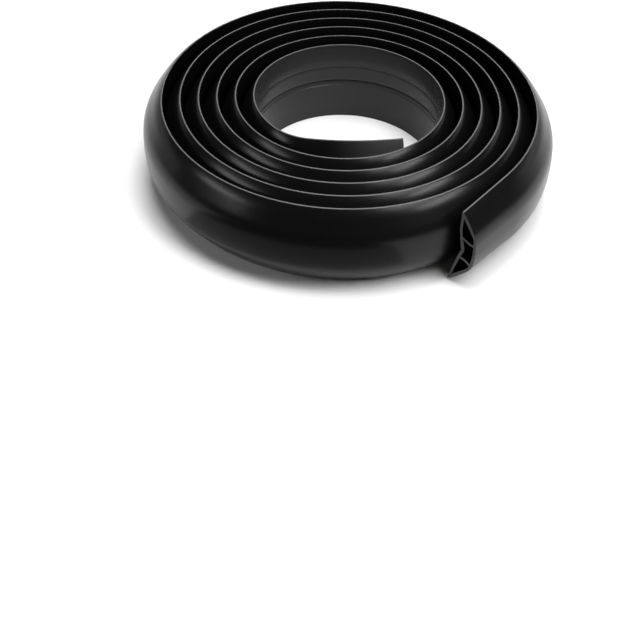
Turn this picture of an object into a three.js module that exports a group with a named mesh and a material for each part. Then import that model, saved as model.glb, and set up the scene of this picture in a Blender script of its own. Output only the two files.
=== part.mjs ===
import * as THREE from 'three';

// A roll of three-channel floor cord cover, lying on its lower edge with the crown facing outward.
// Millimetres, +Z up. The roll's axis is parallel to Z and the cut outer end faces -Y.

// Section of the strip: u runs across the width from its middle, n runs out from the flat base.
const coverWidth = 66;
const coverHeight = 12;
const lipThickness = 1.9;
const baseThickness = 2.5;
const slitLipThickness = 3.1;
const pocketTipThickness = 2;
const crownThickness = 2.4;
const webThickness = 2;
const webBow = 1.3;
const slitWidth = 0.6;
const webSpread = 0.12 * coverWidth;
const shoulderSpread = 0.225 * coverWidth;
const shoulderHeight = 0.985 * coverHeight;
const shoulderRounding = 0.25;

// The base above the slit bulges toward the roll's axis.
const bulgeSpread = 0.27 * coverWidth;
const bulgeDepth = 1.4;

// Both edges curl inward: least at the free outer end, most where the curl is full,
// then less on each turn further in. The edge below the slit leans further in.
const freeCurl = 2.9;
const startCurl = 4.3;
const fullCurl = 4.4;
const fullCurlTurns = 0.61;
const freeLean = 4.9;
const coiledLean = 2;
const freeEndWidthRatio = 0.95;

// The roll: radii are of the strip's upper edge.
const boreRadius = 66.6;
const turns = 5.714;
const turnGap = 1.88;
const turnPitch = coverHeight + turnGap;
const outerRadius = boreRadius + turns * turnPitch;
const outerTail = 51;

// The inner end bends away from the roll, then runs nearly straight to the turn around it,
// which presses it flatter.
const innerBendRadius = 0.6 * boreRadius;
const innerBendAngle = THREE.MathUtils.degToRad(46);
const innerTailRadius = 3.1 * boreRadius;
const innerTailTurns = 0.256;
const innerTailGap = 1.1;
const innerEndPress = 0.83;

const stepsPerTurn = 28;
const bendSteps = 3;
const tailSteps = 3;

const roll = new THREE.Group();
roll.name = 'floor_cord_cover_roll';
const material = new THREE.MeshStandardMaterial({ name: 'black_pvc', color: 0x161617, roughness: 0.5 });
const cover = new THREE.Mesh(sweep(sectionLoops(), rollStations()), material);
cover.name = 'cord_cover';
roll.add(cover);

export default roll;

function mirrored(points) {
  return points.map((p) => new THREE.Vector2(-p.x, p.y)).reverse();
}

function sectionLoops() {
  const edge = coverWidth / 2;
  const slope = (shoulderHeight - lipThickness) / (edge - shoulderSpread);
  const skin = crownThickness * Math.hypot(1, slope);
  const crownRise = coverHeight - shoulderHeight;
  const ceiling = (u) => coverHeight - crownThickness - crownRise * u / shoulderSpread;

  const lip = new THREE.Vector2(edge, lipThickness);
  const shoulder = new THREE.Vector2(shoulderSpread, shoulderHeight);
  const crown = new THREE.Vector2(0, coverHeight);
  const rampEnd = shoulder.clone().lerp(lip, shoulderRounding);
  const crownStart = shoulder.clone().lerp(crown, shoulderRounding);
  const rounding = new THREE.QuadraticBezierCurve(rampEnd, shoulder, crownStart).getPoints(2);
  const skinHalf = [new THREE.Vector2(edge, 0), lip, ...rounding];

  const webInside = webSpread - webThickness / 2;
  const webOutside = webSpread + webThickness / 2;
  const webMiddle = (baseThickness + ceiling(webSpread)) / 2;
  const channelHalf = [
    new THREE.Vector2(webInside, ceiling(webInside)),
    new THREE.Vector2(webInside - webBow, webMiddle),
    new THREE.Vector2(webInside, baseThickness),
    new THREE.Vector2(slitWidth / 2, slitLipThickness),
    new THREE.Vector2(slitWidth / 2, 0),
  ];
  const outline = [
    ...skinHalf,
    crown,
    ...mirrored(skinHalf),
    ...mirrored(channelHalf),
    new THREE.Vector2(0, ceiling(0)),
    ...channelHalf,
    new THREE.Vector2(bulgeSpread, -bulgeDepth),
  ];

  const pocketShoulder = edge - (shoulderHeight - crownThickness + skin - lipThickness) / slope;
  const pocketTip = edge - (pocketTipThickness + skin - lipThickness) / slope;
  const pocket = [
    new THREE.Vector2(webOutside, baseThickness),
    new THREE.Vector2(webOutside - webBow, webMiddle),
    new THREE.Vector2(webOutside, ceiling(webOutside)),
    new THREE.Vector2(pocketShoulder, shoulderHeight - crownThickness),
    new THREE.Vector2(pocketTip, pocketTipThickness),
  ];
  const bulge = new THREE.Vector2(bulgeSpread, baseThickness - bulgeDepth);
  return { outline, pockets: [[...pocket, bulge], mirrored(pocket)] };
}

function station(centre, radius, angle, shape) {
  const out = new THREE.Vector2(Math.cos(angle), Math.sin(angle));
  return { base: centre.clone().addScaledVector(out, radius), out, ...shape };
}

function curlAfter(turned) {
  if (turned < fullCurlTurns) {
    return THREE.MathUtils.mapLinear(turned, 0, fullCurlTurns, startCurl, fullCurl);
  }
  return THREE.MathUtils.mapLinear(turned, fullCurlTurns, turns, fullCurl, 0);
}

// The radius of the strip's base at the slit.
function baseRadiusAfter(turned) {
  return THREE.MathUtils.mapLinear(turned, 0, turns, outerRadius, boreRadius) + curlAfter(turned);
}

function rollStations() {
  const axis = new THREE.Vector2(0, 0);
  const freeEnd = { curl: freeCurl, lean: freeLean, press: 1, span: freeEndWidthRatio };
  const stations = [station(axis, outerRadius + freeCurl, 0, freeEnd)];
  stations[0].base.y = -outerTail;

  const spiralSteps = Math.round(turns * stepsPerTurn);
  for (let i = 0; i <= spiralSteps; i++) {
    const turned = turns * i / spiralSteps;
    const shape = { curl: curlAfter(turned), lean: coiledLean, press: 1, span: 1 };
    stations.push(station(axis, baseRadiusAfter(turned), turned * 2 * Math.PI, shape));
  }

  const inner = { curl: 0, lean: coiledLean, press: 1, span: 1 };
  const bendStart = turns * 2 * Math.PI;
  const bendCentre = station(axis, boreRadius - innerBendRadius, bendStart).base;
  for (let i = 1; i <= bendSteps; i++) {
    const angle = bendStart + innerBendAngle * i / bendSteps;
    stations.push(station(bendCentre, innerBendRadius, angle, inner));
  }

  // The tail's crown stops short of the turn around it.
  const tailStart = bendStart + innerBendAngle;
  const tailCentre = station(bendCentre, innerBendRadius - innerTailRadius, tailStart).base;
  const reach = baseRadiusAfter(turns - 1 + innerTailTurns) - innerTailGap;
  const crownRadius = innerTailRadius + innerEndPress * coverHeight;
  const offset = tailCentre.length();
  const cosine = (crownRadius ** 2 + offset ** 2 - reach ** 2) / (2 * crownRadius * offset);
  const towardAxis = tailCentre.clone().negate().angle();
  const lag = THREE.MathUtils.euclideanModulo(tailStart - towardAxis + Math.PI, 2 * Math.PI) - Math.PI;
  const tailAngle = Math.acos(cosine) - lag;
  for (let i = 1; i <= tailSteps; i++) {
    const angle = tailStart + tailAngle * i / tailSteps;
    const press = THREE.MathUtils.lerp(1, innerEndPress, i / tailSteps);
    stations.push(station(tailCentre, innerTailRadius, angle, { ...inner, press }));
  }
  return stations;
}

// How far a point of the section moves toward the roll's axis: the base folds at the slit,
// while the crown bends in an even arc from shoulder to shoulder.
function inwardShift(across, rise, curl, lean) {
  const side = Math.abs(across);
  const arc = side < shoulderSpread ? side - side ** 2 / (2 * shoulderSpread) : shoulderSpread / 2;
  const bend = across < 0 ? curl + lean : curl;
  return bend * (side - arc * rise / coverHeight) / (coverWidth / 2);
}

function sweep({ outline, pockets }, stations) {
  const loops = [outline, ...pockets];
  const points = loops.flat();
  const positions = [];
  for (const { base, out, curl, lean, press, span } of stations) {
    for (const p of points) {
      const n = p.y * press - inwardShift(p.x, p.y, curl, lean);
      positions.push(base.x + out.x * n, base.y + out.y * n, p.x * span + coverWidth / 2);
    }
  }

  const index = [];
  for (let s = 1; s < stations.length; s++) {
    const near = (s - 1) * points.length;
    const far = s * points.length;
    let first = 0;
    for (const loop of loops) {
      for (let i = 0; i < loop.length; i++) {
        const a = first + i;
        const b = first + (i + 1) % loop.length;
        index.push(near + a, far + b, far + a);
        index.push(near + a, near + b, far + b);
      }
      first += loop.length;
    }
  }
  const last = (stations.length - 1) * points.length;
  for (const [a, b, c] of THREE.ShapeUtils.triangulateShape(outline, pockets)) {
    index.push(a, c, b);
    index.push(last + a, last + b, last + c);
  }

  const geometry = new THREE.BufferGeometry();
  geometry.setAttribute('position', new THREE.Float32BufferAttribute(positions, 3));
  geometry.setIndex(index);
  geometry.computeBoundingBox();
  const middle = geometry.boundingBox.getCenter(new THREE.Vector3());
  geometry.translate(-middle.x, -middle.y, 0);
  geometry.computeVertexNormals();
  return geometry;
}
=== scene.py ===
import math

import bpy
from mathutils import Matrix, Vector


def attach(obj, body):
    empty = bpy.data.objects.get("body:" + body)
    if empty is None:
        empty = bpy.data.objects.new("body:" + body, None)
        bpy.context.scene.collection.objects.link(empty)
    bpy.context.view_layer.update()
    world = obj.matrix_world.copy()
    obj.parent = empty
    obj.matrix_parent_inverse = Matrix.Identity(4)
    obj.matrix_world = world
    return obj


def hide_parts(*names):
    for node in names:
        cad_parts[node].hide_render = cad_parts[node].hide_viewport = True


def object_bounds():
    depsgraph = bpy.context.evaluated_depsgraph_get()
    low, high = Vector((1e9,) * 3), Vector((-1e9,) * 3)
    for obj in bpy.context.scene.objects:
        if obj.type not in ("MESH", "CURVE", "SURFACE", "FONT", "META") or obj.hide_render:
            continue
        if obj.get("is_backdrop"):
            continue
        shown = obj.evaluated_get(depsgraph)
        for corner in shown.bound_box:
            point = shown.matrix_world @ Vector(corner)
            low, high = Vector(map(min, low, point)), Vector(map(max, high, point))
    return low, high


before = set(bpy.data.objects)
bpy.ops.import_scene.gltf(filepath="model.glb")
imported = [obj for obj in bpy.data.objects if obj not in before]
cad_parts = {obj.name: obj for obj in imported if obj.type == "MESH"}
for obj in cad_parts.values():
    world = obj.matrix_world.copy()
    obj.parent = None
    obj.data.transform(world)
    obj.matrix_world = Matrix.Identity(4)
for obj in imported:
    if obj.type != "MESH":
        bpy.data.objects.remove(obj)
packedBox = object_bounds()


def addNode(tree, kind, **settings):
    node = tree.nodes.new(kind)
    for name, value in settings.items():
        setattr(node, name, value)
    return node


def feed(tree, target, value):
    # a socket is linked, None leaves the input as it is, any other value becomes its own
    if isinstance(value, bpy.types.NodeSocket):
        tree.links.new(value, target)
    elif value is not None:
        target.default_value = value


def maths(tree, operation, first, second=None, third=None):
    node = addNode(tree, "ShaderNodeMath", operation=operation)
    for socket, value in zip(node.inputs, (first, second, third)):
        feed(tree, socket, value)
    return node.outputs[0]


def vectorMaths(tree, operation, first, second):
    node = addNode(tree, "ShaderNodeVectorMath", operation=operation)
    feed(tree, node.inputs[0], first)
    feed(tree, node.inputs["Scale"] if operation == "SCALE" else node.inputs[1], second)
    return node.outputs[0]


def stored(tree, name, kind="FLOAT"):
    node = addNode(tree, "GeometryNodeInputNamedAttribute", data_type=kind)
    node.inputs["Name"].default_value = name
    return node.outputs["Attribute"]


# the strip's section in metres: across runs over the width, rise goes out from the base
strip = {
    "width": 0.066,
    "height": 0.012,
    "lipThickness": 0.0009,
    "lipRounding": 0.00022,
    "edgeRounding": 0.0003,
    "baseThickness": 0.0019,
    "slitLipThickness": 0.0031,
    "slitLipRounding": 0.0004,
    "pocketTipThickness": 0.0015,
    "pocketTipRounding": 0.0008,
    "pocketShoulderRounding": 0.0026,
    "skinThickness": 0.0021,
    "ceilingRounding": 0.002,
    "webThickness": 0.0021,
    "webBow": 0.0011,  # toward the slit
    "webBowRounding": 0.0026,
    "webHeadRounding": 0.0008,
    "webFootRounding": 0.0005,
    "slit": 0.0006,
    "webSpread": 0.00792,
    "webTilt": 0.0028,  # the upper web's foot and the lower web's head lie further out
    "shoulderSpread": 0.01485,
    "shoulderHeight": 0.01182,
    "shoulderRounding": 0.0062,
    "crownRounding": 0.003,
    "rampSwell": 0.0009,  # the ramps are a little rounded near the lip
    "rampSwellPlace": 0.21,  # share of the way from the lip to the shoulder
    "rampSwellRounding": 0.0036,
    "bulgeSpread": 0.01782,  # the base above the slit bulges toward the roll's axis
    "bulgeDepth": 0.0014,
    "bulgeRounding": 0.0028,
    "creaseSpread": 0.0134,  # fine line in the base beside a web
    "creaseHalfWidth": 0.0006,
    "creaseDepth": 0.00025,
    "rebateSpread": 0.004,  # thin step beside the slit
    "rebateSlope": 0.0003,
    "rebateDepth": 0.0003,
    "longestStep": 0.0036,  # between two points of the outline
    "sharpAngle": 32,  # folds of more degrees are shaded crisp
    "weldReach": 0.000002,
}


def softened(corners):
    # each corner is across, rise, how far from it the rounding starts, and its steps
    points = []
    for i, (across, rise, cut, steps) in enumerate(corners):
        corner = Vector((across, rise))
        if steps == 0:
            points.append(corner)
            continue
        before = Vector(corners[i - 1][:2]) - corner
        after = Vector(corners[(i + 1) % len(corners)][:2]) - corner
        start = corner + before.normalized() * cut
        end = corner + after.normalized() * cut
        for step in range(steps + 1):
            t = step / steps
            points.append(start.lerp(corner, t).lerp(corner.lerp(end, t), t))
    return points


def subdivided(points):
    # long straight parts get points between, so that they bend evenly
    finer = []
    for before, after in zip(points, points[1:] + points[:1]):
        count = math.ceil((after - before).length / strip["longestStep"])
        finer += [before.lerp(after, step / count) for step in range(count)]
    return finer


def sectionLoops():
    half, slit, edgeCut = strip["width"] / 2, strip["slit"] / 2, strip["edgeRounding"]
    shoulderAcross, shoulderRise = strip["shoulderSpread"], strip["shoulderHeight"]
    slope = (shoulderRise - strip["lipThickness"]) / (half - shoulderAcross)
    skin = strip["skinThickness"] * math.hypot(1, slope)
    crownFall = (strip["height"] - shoulderRise) / shoulderAcross

    def ceiling(across):
        return strip["height"] - strip["skinThickness"] - crownFall * across

    crease, bulge = strip["creaseSpread"], (strip["bulgeSpread"], -strip["bulgeDepth"])

    def upperBaseRise(across):
        return bulge[1] * across / bulge[0]

    def webWall(footTilt, headTilt, side, bulgeShare=0.0):
        # one side of a web from the crown down to the base: side is 1 outward, -1 inward
        foot = strip["webSpread"] + footTilt + side * strip["webThickness"] / 2
        head = strip["webSpread"] + headTilt + side * strip["webThickness"] / 2
        middleRise = (strip["baseThickness"] + ceiling(head)) / 2
        footRise = strip["baseThickness"] + upperBaseRise(foot) * bulgeShare
        return [
            (head, ceiling(head), strip["webHeadRounding"], 3),
            ((foot + head) / 2 - strip["webBow"], middleRise, strip["webBowRounding"], 5),
            (foot, footRise, strip["webFootRounding"], 3),
        ]

    lip, shoulder = Vector((half, strip["lipThickness"])), Vector((shoulderAcross, shoulderRise))
    rampOut = Vector((lip.y - shoulder.y, shoulder.x - lip.x)).normalized() * -strip["rampSwell"]
    swell = lip.lerp(shoulder, strip["rampSwellPlace"]) + rampOut
    skinHalf = [
        (half, 0, edgeCut, 2),
        (*lip, strip["lipRounding"], 2),
        (*swell, strip["rampSwellRounding"], 7),
        (*shoulder, strip["shoulderRounding"], 9),
    ]
    slitTop = (slit, strip["slitLipThickness"], strip["slitLipRounding"], 2)
    slitWall = [slitTop, (slit, 0, edgeCut, 2)]

    def mirrored(corners):
        return [(-across, rise, cut, steps) for across, rise, cut, steps in reversed(corners)]

    creaseStart, creaseEnd = crease - strip["creaseHalfWidth"], crease + strip["creaseHalfWidth"]
    upperBase = [
        (creaseStart, upperBaseRise(creaseStart), 0, 0),
        (crease, upperBaseRise(crease) + strip["creaseDepth"], 0, 0),
        (creaseEnd, upperBaseRise(creaseEnd), 0, 0),
        (*bulge, strip["bulgeRounding"], 5),
    ]
    rebate, depth, tilt = strip["rebateSpread"], strip["rebateDepth"], strip["webTilt"]
    lowerBase = [(-rebate - strip["rebateSlope"], 0, 0, 0), (-rebate, depth, 0, 0)]
    lowerChannel = mirrored([*webWall(0, tilt, -1), slitTop])

    outline = [
        *skinHalf,
        (0, strip["height"], strip["crownRounding"], 4),
        *mirrored(skinHalf),
        *lowerBase,
        (-slit, depth, edgeCut, 2),
        *lowerChannel,
        (0, ceiling(0), strip["ceilingRounding"], 3),
        *webWall(tilt, 0, -1, 0.5),
        *slitWall,
        *upperBase,
    ]

    def underRamp(rise, cut, steps):
        return half - (rise + skin - lip.y) / slope, rise, cut, steps

    pocketEnd = [
        underRamp(shoulderRise - strip["skinThickness"], strip["pocketShoulderRounding"], 4),
        underRamp(strip["pocketTipThickness"], strip["pocketTipRounding"], 3),
    ]
    pocketBulge = (bulge[0], strip["baseThickness"] + bulge[1], strip["bulgeRounding"], 3)
    upperPocket = [*webWall(tilt, 0, 1, 1.0)[::-1], *pocketEnd, pocketBulge]
    lowerPocket = mirrored([*webWall(0, tilt, 1)[::-1], *pocketEnd])
    return [subdivided(softened(outline)), softened(upperPocket), softened(lowerPocket)]


# how the strip lies: a roll with a straight outer tail and a bent inner one
roll = {
    "axis": (-0.0034289, -0.0035006),
    "boreRadius": 0.0666,  # radii are of the strip's upper edge
    "turns": 5.714,
    "turnPitch": 0.01388,
    "outerTail": 0.051,  # straight
    "freeCurl": 0.0029,  # both edges curl inward, here at the free outer end
    "startCurl": 0.0043,
    "fullCurl": 0.0044,
    "fullCurlTurns": 0.61,  # from there the curl lessens to none on the innermost turn
    "freeLean": 0.0049,  # the lower edge leans further in
    "coiledLean": 0.002,
    "freeWidthRatio": 0.95,  # the free end is a little narrower
    "innerBendRadius": 0.03996,
    "innerBendAngle": 46,  # degrees
    "innerTailRadius": 0.20646,
    "innerTailTurns": 0.256,  # where round the roll the inner end lies
    "innerTailGap": 0.0011,
    "innerEndPress": 0.83,  # share of the strip's height that is left there
    "stepsPerTurn": 84,
    "bendSteps": 12,
    "tailSteps": 10,
}


def mix(first, second, share):
    return first + (second - first) * share


def curlAfter(turned):
    full = roll["fullCurlTurns"]
    if turned < full:
        return mix(roll["startCurl"], roll["fullCurl"], turned / full)
    return mix(roll["fullCurl"], 0, (turned - full) / (roll["turns"] - full))


def pathStations():
    # each station: place of the base, direction outward, curl, lean, press and width ratio
    bore, turns, pitch = roll["boreRadius"], roll["turns"], roll["turnPitch"]
    outerRadius = bore + turns * pitch
    coiledLean = roll["coiledLean"]
    axis = Vector((0, 0))

    def station(centre, radius, angle, curl, lean, press):
        outward = Vector((math.cos(angle), math.sin(angle)))
        return centre + outward * radius, outward, curl, lean, press, 1

    stations = []
    for i in range(roll["tailSteps"]):
        t = i / roll["tailSteps"]
        curl = mix(roll["freeCurl"], roll["startCurl"], t)
        lean = mix(roll["freeLean"], coiledLean, t)
        place = Vector((outerRadius + curl, -roll["outerTail"] * (1 - t)))
        stations.append((place, Vector((1, 0)), curl, lean, 1, mix(roll["freeWidthRatio"], 1, t)))

    def baseRadius(turned):
        return outerRadius - pitch * turned + curlAfter(turned)

    spiralSteps = round(turns * roll["stepsPerTurn"])
    bendStart = turns * 2 * math.pi
    for i in range(spiralSteps + 1):
        turned = turns * i / spiralSteps
        angle, curl = turned * 2 * math.pi, curlAfter(turned)
        stations.append(station(axis, baseRadius(turned), angle, curl, coiledLean, 1))

    bendRadius, bendAngle = roll["innerBendRadius"], math.radians(roll["innerBendAngle"])
    bendCentre = station(axis, bore - bendRadius, bendStart, 0, 0, 1)[0]
    for i in range(1, roll["bendSteps"] + 1):
        angle = bendStart + bendAngle * i / roll["bendSteps"]
        stations.append(station(bendCentre, bendRadius, angle, 0, coiledLean, 1))

    # the inner tail's crown stops just short of the turn around it
    tailRadius, endPress = roll["innerTailRadius"], roll["innerEndPress"]
    tailStart = bendStart + bendAngle
    tailCentre = station(bendCentre, bendRadius - tailRadius, tailStart, 0, 0, 1)[0]
    reach = baseRadius(turns - 1 + roll["innerTailTurns"]) - roll["innerTailGap"]
    crownRadius = tailRadius + endPress * strip["height"]
    offset = tailCentre.length
    cosine = (crownRadius ** 2 + offset ** 2 - reach ** 2) / (2 * crownRadius * offset)
    towardAxis = math.atan2(-tailCentre.y, -tailCentre.x)
    lag = (tailStart - towardAxis + math.pi) % (2 * math.pi) - math.pi
    tailAngle = math.acos(cosine) - lag
    for i in range(1, roll["tailSteps"] + 1):
        t = i / roll["tailSteps"]
        press = 1 + (endPress - 1) * t
        angle = tailStart + tailAngle * t
        stations.append(station(tailCentre, tailRadius, angle, 0, coiledLean, press))
    return stations


def pathMesh():
    stations = pathStations()
    axis = Vector((*roll["axis"], 0))
    mesh = bpy.data.meshes.new("rollPath")
    places = [place.to_3d() + axis for place, *_ in stations]
    mesh.from_pydata(places, [(i, i + 1) for i in range(len(places) - 1)], [])
    outward = mesh.attributes.new("outward", "FLOAT_VECTOR", "POINT")
    outward.data.foreach_set("vector", [n for s in stations for n in s[1].to_3d()])
    for column, name in enumerate(("curl", "lean", "press", "widthRatio"), 2):
        values = mesh.attributes.new(name, "FLOAT", "POINT")
        values.data.foreach_set("value", [s[column] for s in stations])
    travelled = [0.0]
    for before, after in zip(places, places[1:]):
        travelled.append(travelled[-1] + (after - before).length)
    along = mesh.attributes.new("along", "FLOAT", "POINT")
    along.data.foreach_set("value", travelled)
    print(f"path: {len(places)} stations, strip {travelled[-1]:.2f} m long")
    return mesh


def sectionMesh():
    points, edges = [], []
    for loop in sectionLoops():
        first, count = len(points), len(loop)
        points += [(p.x, p.y, 0) for p in loop]
        edges += [(first + i, first + (i + 1) % count) for i in range(count)]
    mesh = bpy.data.meshes.new("stripSection")
    mesh.from_pydata(points, edges, [])
    print(f"section: {len(points)} points")
    return mesh


# puts a point of the section at its station on the path
def placeSectionTree():
    tree = bpy.data.node_groups.new("placeSection", "GeometryNodeTree")
    face = tree.interface
    for name in ("Spot", "Outward", "Section"):
        face.new_socket(name, in_out="INPUT", socket_type="NodeSocketVector")
    sizes = ("Strip Width", "Strip Height", "Shoulder Spread")
    for name in ("Curl", "Lean", "Press", "Width Ratio", *sizes):
        face.new_socket(name, in_out="INPUT", socket_type="NodeSocketFloat")
    face.new_socket("Place", in_out="OUTPUT", socket_type="NodeSocketVector")
    given = addNode(tree, "NodeGroupInput").outputs
    section = addNode(tree, "ShaderNodeSeparateXYZ")
    feed(tree, section.inputs[0], given["Section"])
    across, rise = section.outputs["X"], section.outputs["Y"]
    halfWidth = maths(tree, "MULTIPLY", given["Strip Width"], 0.5)
    lower = maths(tree, "LESS_THAN", across, 0.0)
    inward = maths(tree, "MULTIPLY_ADD", lower, given["Lean"], given["Curl"])
    side = maths(tree, "ABSOLUTE", across)

    # the base folds at the slit, while the crown bends in an even arc between the shoulders
    onCrown = maths(tree, "MINIMUM", side, given["Shoulder Spread"])
    crownWidth = maths(tree, "MULTIPLY", given["Shoulder Spread"], 2.0)
    arcShare = maths(tree, "DIVIDE", onCrown, crownWidth)
    arc = maths(tree, "MULTIPLY", onCrown, maths(tree, "SUBTRACT", 1.0, arcShare))
    eased = maths(tree, "MULTIPLY", arc, maths(tree, "DIVIDE", rise, given["Strip Height"]))
    folded = maths(tree, "DIVIDE", maths(tree, "SUBTRACT", side, eased), halfWidth)
    drawnIn = maths(tree, "MULTIPLY", inward, folded)
    reach = maths(tree, "SUBTRACT", maths(tree, "MULTIPLY", rise, given["Press"]), drawnIn)
    flat = vectorMaths(tree, "SCALE", given["Outward"], reach)
    height = addNode(tree, "ShaderNodeCombineXYZ")
    up = maths(tree, "MULTIPLY_ADD", across, given["Width Ratio"], halfWidth)
    feed(tree, height.inputs["Z"], up)
    moved = vectorMaths(tree, "ADD", given["Spot"], flat)
    place = vectorMaths(tree, "ADD", moved, height.outputs[0])
    feed(tree, addNode(tree, "NodeGroupOutput").inputs["Place"], place)
    return tree


def stripTree():
    tree = bpy.data.node_groups.new("stripAlongPath", "GeometryNodeTree")
    face = tree.interface
    face.new_socket("Geometry", in_out="INPUT", socket_type="NodeSocketGeometry")
    face.new_socket("Section", in_out="INPUT", socket_type="NodeSocketObject")
    for name in ("Strip Width", "Strip Height", "Shoulder Spread", "Sharp Angle"):
        face.new_socket(name, in_out="INPUT", socket_type="NodeSocketFloat")
    face.new_socket("Finish", in_out="INPUT", socket_type="NodeSocketMaterial")
    face.new_socket("Geometry", in_out="OUTPUT", socket_type="NodeSocketGeometry")
    given = addNode(tree, "NodeGroupInput").outputs
    position = addNode(tree, "GeometryNodeInputPosition").outputs[0]
    placeSection = placeSectionTree()

    def kept(geometry, name):
        # the point's place travels with it under a name
        store = addNode(tree, "GeometryNodeStoreNamedAttribute", data_type="FLOAT_VECTOR")
        feed(tree, store.inputs["Geometry"], geometry)
        store.inputs["Name"].default_value = name
        feed(tree, store.inputs["Value"], position)
        return store.outputs["Geometry"]

    def placed(geometry, spot, outward, section, *shape):
        # moves every point of the geometry to its place at a station
        group = addNode(tree, "GeometryNodeGroup", node_tree=placeSection)
        sizes = [given[name] for name in ("Strip Width", "Strip Height", "Shoulder Spread")]
        for socket, value in zip(group.inputs, (spot, outward, section, *shape, *sizes)):
            feed(tree, socket, value)
        move = addNode(tree, "GeometryNodeSetPosition")
        feed(tree, move.inputs["Geometry"], geometry)
        feed(tree, move.inputs["Position"], group.outputs["Place"])
        return move.outputs["Geometry"]

    # path and section as curves
    path = kept(given["Geometry"], "spot")
    pathCurve = addNode(tree, "GeometryNodeMeshToCurve")
    feed(tree, pathCurve.inputs[0], path)
    sectionInfo = addNode(tree, "GeometryNodeObjectInfo", transform_space="ORIGINAL")
    feed(tree, sectionInfo.inputs["Object"], given["Section"])
    sectionCurve = addNode(tree, "GeometryNodeMeshToCurve")
    feed(tree, sectionCurve.inputs[0], kept(sectionInfo.outputs["Geometry"], "section"))

    # the long walls
    sweep = addNode(tree, "GeometryNodeCurveToMesh")
    feed(tree, sweep.inputs["Curve"], pathCurve.outputs[0])
    feed(tree, sweep.inputs["Profile Curve"], sectionCurve.outputs[0])
    fields = [stored(tree, "spot", "FLOAT_VECTOR"), stored(tree, "outward", "FLOAT_VECTOR")]
    fields.append(stored(tree, "section", "FLOAT_VECTOR"))
    shapeNames = ("curl", "lean", "press", "widthRatio")
    fields += [stored(tree, name) for name in shapeNames]
    walls = placed(sweep.outputs["Mesh"], *fields)

    # both cut ends
    fill = addNode(tree, "GeometryNodeFillCurve", mode="TRIANGLES")
    feed(tree, fill.inputs["Curve"], sectionCurve.outputs[0])
    size = addNode(tree, "GeometryNodeAttributeDomainSize", component="MESH")
    feed(tree, size.inputs[0], path)
    lastStation = maths(tree, "SUBTRACT", size.outputs["Point Count"], 1.0)

    def atStation(index, name, kind="FLOAT"):
        pick = addNode(tree, "GeometryNodeSampleIndex", data_type=kind, domain="POINT")
        feed(tree, pick.inputs["Geometry"], path)
        feed(tree, pick.inputs["Value"], stored(tree, name, kind))
        feed(tree, pick.inputs["Index"], index)
        return pick.outputs["Value"]

    def cutEnd(index):
        spot = atStation(index, "spot", "FLOAT_VECTOR")
        outward = atStation(index, "outward", "FLOAT_VECTOR")
        shape = [atStation(index, name) for name in shapeNames]
        end = kept(fill.outputs["Mesh"], "section")
        marks = (("along", "POINT", atStation(index, "along")), ("cut", "FACE", 1.0))
        for name, domain, value in marks:
            mark = addNode(tree, "GeometryNodeStoreNamedAttribute", domain=domain)
            mark.data_type = "FLOAT"
            feed(tree, mark.inputs["Geometry"], end)
            mark.inputs["Name"].default_value = name
            feed(tree, mark.inputs["Value"], value)
            end = mark.outputs["Geometry"]
        return placed(end, spot, outward, position, *shape)

    outerEnd = cutEnd(0)
    flip = addNode(tree, "GeometryNodeFlipFaces")
    feed(tree, flip.inputs["Mesh"], cutEnd(lastStation))

    join = addNode(tree, "GeometryNodeJoinGeometry")
    for part in (flip.outputs["Mesh"], outerEnd, walls):
        tree.links.new(part, join.inputs[0])
    merge = addNode(tree, "GeometryNodeMergeByDistance")
    feed(tree, merge.inputs["Geometry"], join.outputs[0])
    merge.inputs["Distance"].default_value = strip["weldReach"]

    # soft curves, crisp folds
    smooth = addNode(tree, "GeometryNodeSetShadeSmooth", domain="FACE")
    feed(tree, smooth.inputs["Geometry"], merge.outputs[0])
    crisp = addNode(tree, "GeometryNodeSetShadeSmooth", domain="EDGE")
    feed(tree, crisp.inputs["Geometry"], smooth.outputs[0])
    bend = addNode(tree, "GeometryNodeInputMeshEdgeAngle").outputs["Unsigned Angle"]
    feed(tree, crisp.inputs["Shade Smooth"], maths(tree, "LESS_THAN", bend, given["Sharp Angle"]))
    realize = addNode(tree, "GeometryNodeRealizeInstances")
    feed(tree, realize.inputs[0], crisp.outputs[0])
    finish = addNode(tree, "GeometryNodeSetMaterial")
    feed(tree, finish.inputs["Geometry"], realize.outputs[0])
    feed(tree, finish.inputs["Material"], given["Finish"])
    feed(tree, addNode(tree, "NodeGroupOutput").inputs[0], finish.outputs[0])
    return tree


# soft black PVC as it leaves the die
blackPvc = {
    "colour": (0.003, 0.003, 0.0032, 1),
    # lighter lips: wear, with a painted highlight along the lip tops
    "lipWearAndSheenColour": (0.078, 0.078, 0.08, 1),
    "cutColour": (0.04, 0.04, 0.041, 1),
    # painted light on the base where it lies open in the bore
    "baseColour": (0.022, 0.022, 0.022, 1),
    # painted light on the inner end
    "innerEndLightColour": (0.034, 0.034, 0.035, 1),
    "dustColour": (0.4, 0.4, 0.39, 1),
    "specular": 0.21,
    "roughness": 0.26,
    "roughnessSpread": 0.03,
    "patchScale": 22.0,  # large soft patches of gloss
    "patchRange": (0.2, 0.8),  # of the noise, from glossiest to dullest
    "alongStretch": 0.02,  # draws the die lines out along the strip
    "dieLineScale": 900.0,
    "dieLineStrength": 0.25,
    "dieLineDepth": 0.00008,
    "grainScale": 2600.0,
    "grainStrength": 0.15,
    "grainDepth": 0.00005,
    "lipWearAndSheenFrom": 0.0328,  # metres across from the middle, where lip wear and the painted highlight start
    "baseBelow": 0.0004,  # rise under which a surface counts as base
    "boreLightFrom": (3.4, 3.6),  # metres along the strip where its base lies open in the bore and gets painted light
    "innerEndLightFrom": (3.996, 4.048),  # metres along where the painted light on the inner end starts
    "dustCells": 90.0,  # per metre, few of them hold a speck
    "dustReach": 0.028,
    "dustShare": 0.03,
}


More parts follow.
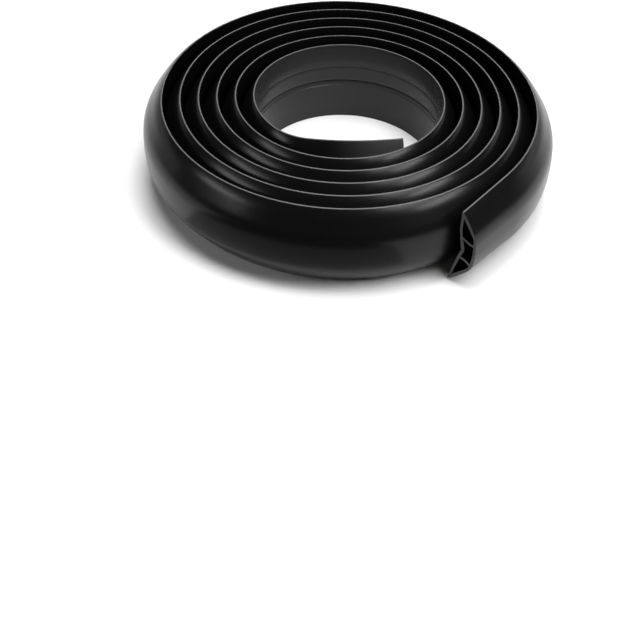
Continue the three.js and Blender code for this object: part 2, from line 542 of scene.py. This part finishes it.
def pvcMaterial():
    material = bpy.data.materials.new("softBlackPvc")
    material.use_nodes = True
    tree = material.node_tree
    tree.nodes.clear()
    output = addNode(tree, "ShaderNodeOutputMaterial")
    shader = addNode(tree, "ShaderNodeBsdfPrincipled")
    shader.inputs["Specular IOR Level"].default_value = blackPvc["specular"]
    feed(tree, output.inputs["Surface"], shader.outputs[0])

    section = addNode(tree, "ShaderNodeAttribute", attribute_name="section")
    along = addNode(tree, "ShaderNodeAttribute", attribute_name="along")
    sectionPlace = addNode(tree, "ShaderNodeSeparateXYZ")
    feed(tree, sectionPlace.inputs[0], section.outputs["Vector"])
    across, rise, travelled = *sectionPlace.outputs[:2], along.outputs["Fac"]
    onStrip = addNode(tree, "ShaderNodeCombineXYZ")
    stretched = maths(tree, "MULTIPLY", travelled, blackPvc["alongStretch"])
    for socket, value in zip(onStrip.inputs, (stretched, across, rise)):
        feed(tree, socket, value)

    def noise(vector, scale):
        node = addNode(tree, "ShaderNodeTexNoise")
        feed(tree, node.inputs["Vector"], vector)
        node.inputs["Scale"].default_value = scale
        return node.outputs["Fac"]

    def ranged(value, low, high, fromMin, fromMax, kind="LINEAR"):
        node = addNode(tree, "ShaderNodeMapRange", interpolation_type=kind)
        sockets = ("Value", "From Min", "From Max", "To Min", "To Max")
        for name, given in zip(sockets, (value, fromMin, fromMax, low, high)):
            feed(tree, node.inputs[name], given)
        return node.outputs[0]

    def bumped(height, name, normal=None):
        node = addNode(tree, "ShaderNodeBump")
        node.inputs["Strength"].default_value = blackPvc[name + "Strength"]
        node.inputs["Distance"].default_value = blackPvc[name + "Depth"]
        feed(tree, node.inputs["Height"], height)
        feed(tree, node.inputs["Normal"], normal)
        return node.outputs[0]

    place = addNode(tree, "ShaderNodeTexCoord").outputs["Object"]
    patches = noise(place, blackPvc["patchScale"])
    spread = blackPvc["roughnessSpread"] / 2
    duller, glossier = blackPvc["roughness"] + spread, blackPvc["roughness"] - spread
    roughness = ranged(patches, glossier, duller, *blackPvc["patchRange"])
    feed(tree, shader.inputs["Roughness"], roughness)

    # painted light on the inner end and on the base open in the bore, lighter lips for wear and a
    # painted highlight, lighter cuts, then dust
    innerEndLight = ranged(travelled, 0, 1, *blackPvc["innerEndLightFrom"], "SMOOTHSTEP")
    # painted light on the base surfaces that lie open in the bore
    boreLightShare = ranged(travelled, 0, 1, *blackPvc["boreLightFrom"], "SMOOTHSTEP")
    base = maths(tree, "MULTIPLY", maths(tree, "LESS_THAN", rise, blackPvc["baseBelow"]), boreLightShare)
    side = maths(tree, "ABSOLUTE", across)
    # lip tops lighter: wear, with a painted highlight
    lip = maths(tree, "GREATER_THAN", side, blackPvc["lipWearAndSheenFrom"])
    cut = addNode(tree, "ShaderNodeAttribute", attribute_name="cut").outputs["Fac"]
    cells = addNode(tree, "ShaderNodeTexVoronoi")
    feed(tree, cells.inputs["Vector"], place)
    cells.inputs["Scale"].default_value = blackPvc["dustCells"]
    speck = maths(tree, "LESS_THAN", cells.outputs["Distance"], blackPvc["dustReach"])
    rare = maths(tree, "GREATER_THAN", cells.outputs["Color"], 1 - blackPvc["dustShare"])
    dust = maths(tree, "MULTIPLY", speck, rare)
    shares = {"innerEndLight": innerEndLight, "base": base, "lipWearAndSheen": lip, "cut": cut, "dust": dust}
    colour = blackPvc["colour"]
    for name, share in shares.items():
        blend = addNode(tree, "ShaderNodeMix", data_type="RGBA")
        feed(tree, blend.inputs["Factor"], share)
        feed(tree, blend.inputs[6], colour)  # the RGBA inputs and output
        feed(tree, blend.inputs[7], blackPvc[name + "Colour"])
        colour = blend.outputs[2]
    feed(tree, shader.inputs["Base Color"], colour)

    dieLines = noise(onStrip.outputs[0], blackPvc["dieLineScale"])
    grain = noise(place, blackPvc["grainScale"])
    normal = bumped(grain, "grain", bumped(dieLines, "dieLine"))
    feed(tree, shader.inputs["Normal"], normal)
    return material


def buildCover():
    path = bpy.data.objects.new("rollPath", pathMesh())
    section = bpy.data.objects.new("stripSection", sectionMesh())
    for obj in (path, section):
        bpy.context.scene.collection.objects.link(obj)
    tree = stripTree()
    modifier = path.modifiers.new("strip", "NODES")
    modifier.node_group = tree
    values = {
        "Section": section,
        "Strip Width": strip["width"],
        "Strip Height": strip["height"],
        "Shoulder Spread": strip["shoulderSpread"],
        "Sharp Angle": math.radians(strip["sharpAngle"]),
        "Finish": pvcMaterial(),
    }
    for socket in tree.interface.items_tree:
        if socket.in_out == "INPUT" and socket.name in values:
            modifier[socket.identifier] = values[socket.name]
    graph = bpy.context.evaluated_depsgraph_get()
    mesh = bpy.data.meshes.new_from_object(path.evaluated_get(graph))
    mesh.name = "coiledCover"
    cover = bpy.data.objects.new("coiledCover", mesh)
    bpy.context.scene.collection.objects.link(cover)
    path.modifiers.clear()
    for obj in (path, section):
        bpy.data.objects.remove(obj)
    mesh.calc_loop_triangles()
    print(f"cover: {len(mesh.vertices)} points, {len(mesh.loop_triangles)} triangles")
    return cover


cover = buildCover()
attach(cover, "root")
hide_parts("cord_cover")


studio = {
    "floorSize": 8.0,
    "floorColour": (0.9, 0.9, 0.9, 1),
    "floorRoughness": 0.9,
    "skyStrength": 0.03,
    "lightsAim": (0, 0, 0.03),
    # a dark card that only reflections see: painted shade on the crown
    "cardNear": 0.166,  # metres from the roll's middle
    "cardFar": 1.5,
    "cardTurns": (-56, -44, -32, -20, -8, 6, 19),  # degrees round from the camera's front
    "cardLift": 0.0005,
    "reflectedShadeGreys": (0.38, 0.05),  # painted shade in reflections, lighter by the roll's foot, darkest further out
    "reflectedShadeDarkFrom": 0.3,
}

# direction in degrees from the camera's front, clockwise seen from above,
# then elevation in degrees, distance, size and power
lights = {
    "leftBox": (-68, 26, 1.3, (0.6, 0.14), 2.7),
    "rightBox": (62, 35, 1.3, (0.55, 0.12), 4.4),
    "rightTop": (48, 54, 0.7, (0.3, 0.3), 2.8),
    "leftHorizon": (-118, 7, 1.5, (1.3, 0.3), 0.7),
    "rightHorizon": (120, 9, 1.5, (1.0, 0.3), 1.0),
    "backBox": (180, 45, 1.8, (0.9, 0.6), 12),
    "overhead": (180, 88, 1.7, (0.9, 0.9), 25),
}

view = {
    "heading": 39.6,  # degrees, turned from looking along +Y
    "elevation": 44.93,
    "roll": 1.71,
    "distance": 0.8191,
    "aim": (0.06012, -0.10168, -0.05042),
    "lens": 60.94,
    "clip": (0.01, 50),
}


def makeFloor():
    half = studio["floorSize"] / 2
    mesh = bpy.data.meshes.new("floor")
    corners = [(-half, -half, 0), (half, -half, 0), (half, half, 0), (-half, half, 0)]
    mesh.from_pydata(corners, [], [(0, 1, 2, 3)])
    material = bpy.data.materials.new("paleFloor")
    material.use_nodes = True
    shader = material.node_tree.nodes["Principled BSDF"]
    shader.inputs["Base Color"].default_value = studio["floorColour"]
    shader.inputs["Roughness"].default_value = studio["floorRoughness"]
    mesh.materials.append(material)
    floor = bpy.data.objects.new("floor", mesh)
    bpy.context.scene.collection.objects.link(floor)
    floor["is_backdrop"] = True


def makeReflectedShadeCard():
    # a dark card on the floor in front that only reflections see: painted shade in what the crown
    # mirrors
    near, far, lift = studio["cardNear"], studio["cardFar"], studio["cardLift"]
    turns = [math.radians(view["heading"] + turn) for turn in studio["cardTurns"]]
    corners = []
    for reach, order in ((near, turns), (far, turns[::-1])):
        corners += [(math.sin(turn) * reach, -math.cos(turn) * reach, lift) for turn in order]
    mesh = bpy.data.meshes.new("blackCard")
    mesh.from_pydata(corners, [], [range(len(corners))])
    material = bpy.data.materials.new("blackCard")
    material.use_nodes = True
    shader = material.node_tree.nodes["Principled BSDF"]
    shader.inputs["Specular IOR Level"].default_value = 0
    tree = material.node_tree
    place = addNode(tree, "ShaderNodeTexCoord").outputs["Object"]
    length = addNode(tree, "ShaderNodeVectorMath", operation="LENGTH")
    feed(tree, length.inputs[0], place)
    grey = addNode(tree, "ShaderNodeMapRange", interpolation_type="SMOOTHSTEP")
    feed(tree, grey.inputs["Value"], length.outputs["Value"])
    grey.inputs["From Min"].default_value = near
    grey.inputs["From Max"].default_value = studio["reflectedShadeDarkFrom"]
    grey.inputs["To Min"].default_value, grey.inputs["To Max"].default_value = studio["reflectedShadeGreys"]
    feed(tree, shader.inputs["Base Color"], grey.outputs[0])
    mesh.materials.append(material)
    card = bpy.data.objects.new("blackCard", mesh)
    bpy.context.scene.collection.objects.link(card)
    card.visible_camera = card.visible_diffuse = card.visible_shadow = False
    card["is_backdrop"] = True


def makeLights():
    world = bpy.data.worlds.new("studio")
    world.use_nodes = True
    background = world.node_tree.nodes["Background"]
    background.inputs["Color"].default_value = (1, 1, 1, 1)
    background.inputs["Strength"].default_value = studio["skyStrength"]
    bpy.context.scene.world = world
    for name, (direction, elevation, distance, size, power) in lights.items():
        lamp = bpy.data.lights.new(name, "AREA")
        lamp.shape = "RECTANGLE"
        lamp.size, lamp.size_y = size
        lamp.energy = power
        bearing, rise = math.radians(view["heading"] + direction), math.radians(elevation)
        level = Vector((math.sin(bearing), -math.cos(bearing), 0)) * math.cos(rise)
        away = level + Vector((0, 0, math.sin(rise)))
        obj = bpy.data.objects.new(name, lamp)
        obj.location = Vector(studio["lightsAim"]) + away * distance
        obj.rotation_euler = away.to_track_quat("Z", "Y").to_euler()
        bpy.context.scene.collection.objects.link(obj)
    print(f"studio: {len(lights)} lights")


def makeCamera():
    data = bpy.data.cameras.new("camera")
    data.lens = view["lens"]
    data.clip_start, data.clip_end = view["clip"]
    camera = bpy.data.objects.new("camera", data)
    turn = Matrix.Rotation(math.radians(view["heading"]), 4, "Z")
    tilt = Matrix.Rotation(math.radians(90 - view["elevation"]), 4, "X")
    twist = Matrix.Rotation(math.radians(view["roll"]), 4, "Z")
    pose = turn @ tilt @ twist
    back = pose.to_3x3() @ Vector((0, 0, 1))
    pose.translation = Vector(view["aim"]) + back * view["distance"]
    camera.matrix_world = pose
    bpy.context.scene.collection.objects.link(camera)
    bpy.context.scene.camera = camera


makeFloor()
makeReflectedShadeCard()
makeLights()
makeCamera()
bpy.context.scene.view_settings.view_transform = "Standard"

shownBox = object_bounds()
boxes = {"cad": packedBox, "shown": shownBox}
boxes = {name: [list(corner) for corner in box] for name, box in boxes.items()}
print("size: cad", boxes["cad"], "shown", boxes["shown"])
